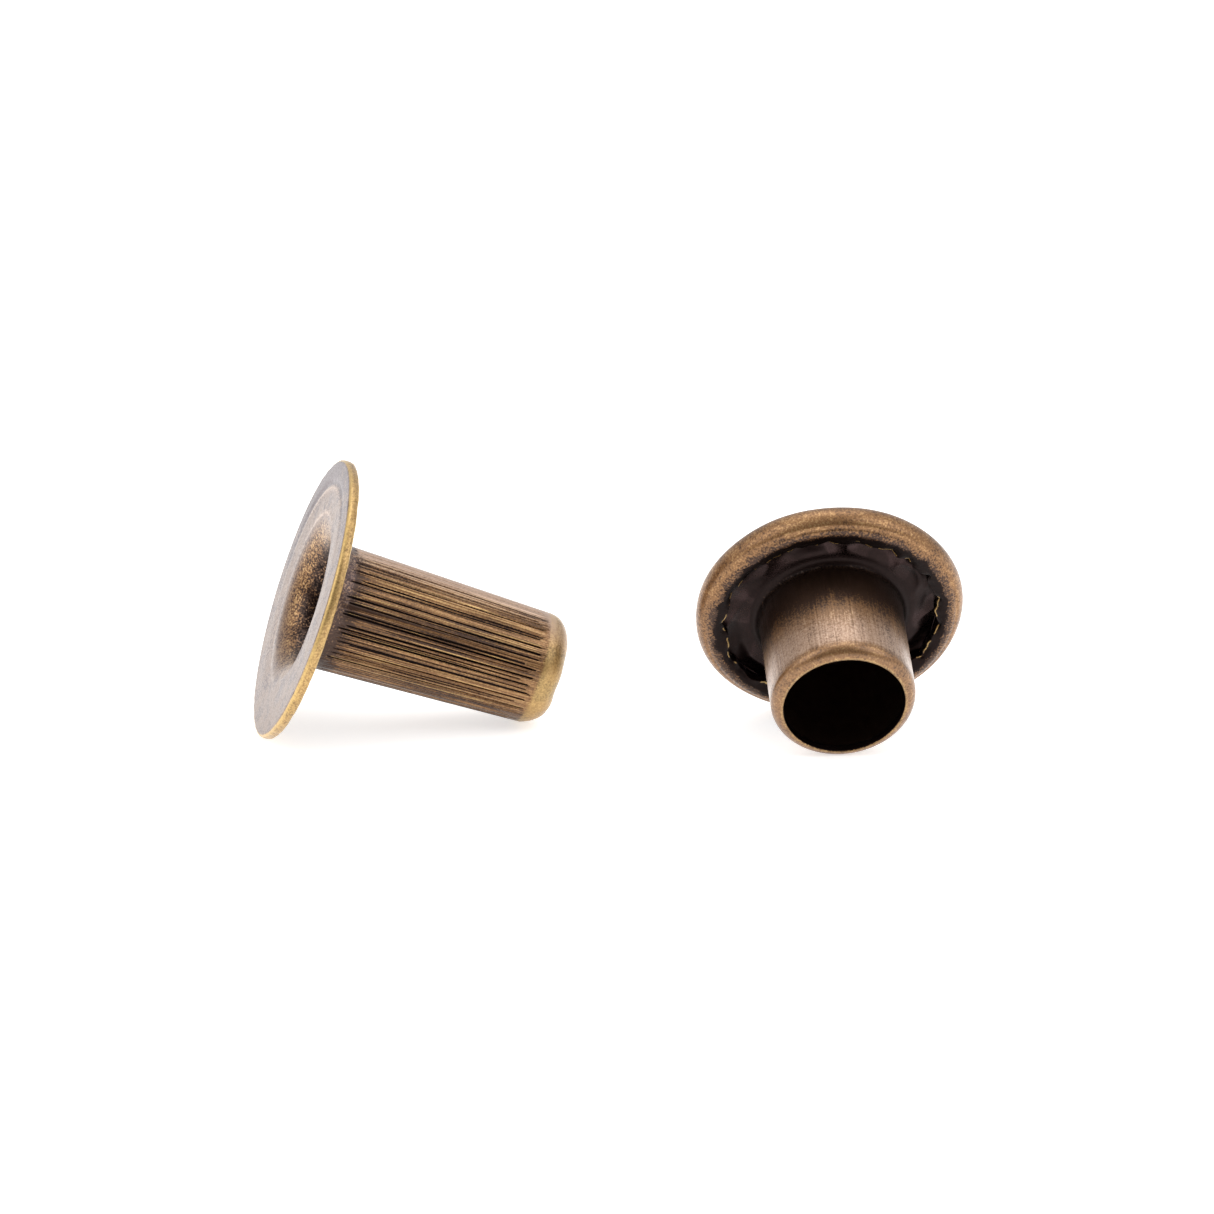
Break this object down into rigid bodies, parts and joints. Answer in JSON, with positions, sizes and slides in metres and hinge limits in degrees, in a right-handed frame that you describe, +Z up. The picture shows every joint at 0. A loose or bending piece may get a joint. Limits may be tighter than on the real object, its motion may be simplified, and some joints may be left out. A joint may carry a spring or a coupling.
{
  "type": "tubular rivet",
  "caption": "Antique brass tubular rivet for leather, its halves loose: a flanged hollow post, and a domed cap whose rolled rim holds a socket tube.",
  "frame": {"origin": "on the table, under the middle of the bounding box of the two halves as they lie", "axes": "+Z up from the table; +X from the post's half towards the cap's half; the socket's mouth faces -Y"},
  "size_m": [0.0218, 0.0088, 0.0084],
  "materials": {
    "rivet_post": "antique brass: dark lacquered patina in the drawn ribs, rubbed bright on the flange's edge and the nose",
    "cap_shell": "antique brass: satin brown, blackened at the crimp",
    "socket_tube": "antique brass: brown satin tube with a worn lip, near-black lacquer on the flange and inside"
  },
  "bodies": {
    "cap_half": {"cap_shell": "cap_shell", "socket_tube": "socket_tube"},
    "post": {"rivet_post": "rivet_post"}
  },
  "joints": [
    {"name": "post_tip_up", "type": "hinge", "parent": "cap_half", "child": "post", "pos_m": [-0.01065, -0.0002, 0.00016], "axis": [0.1374, -0.9905, 0], "range_deg": [0, 109.67]}
  ]
}
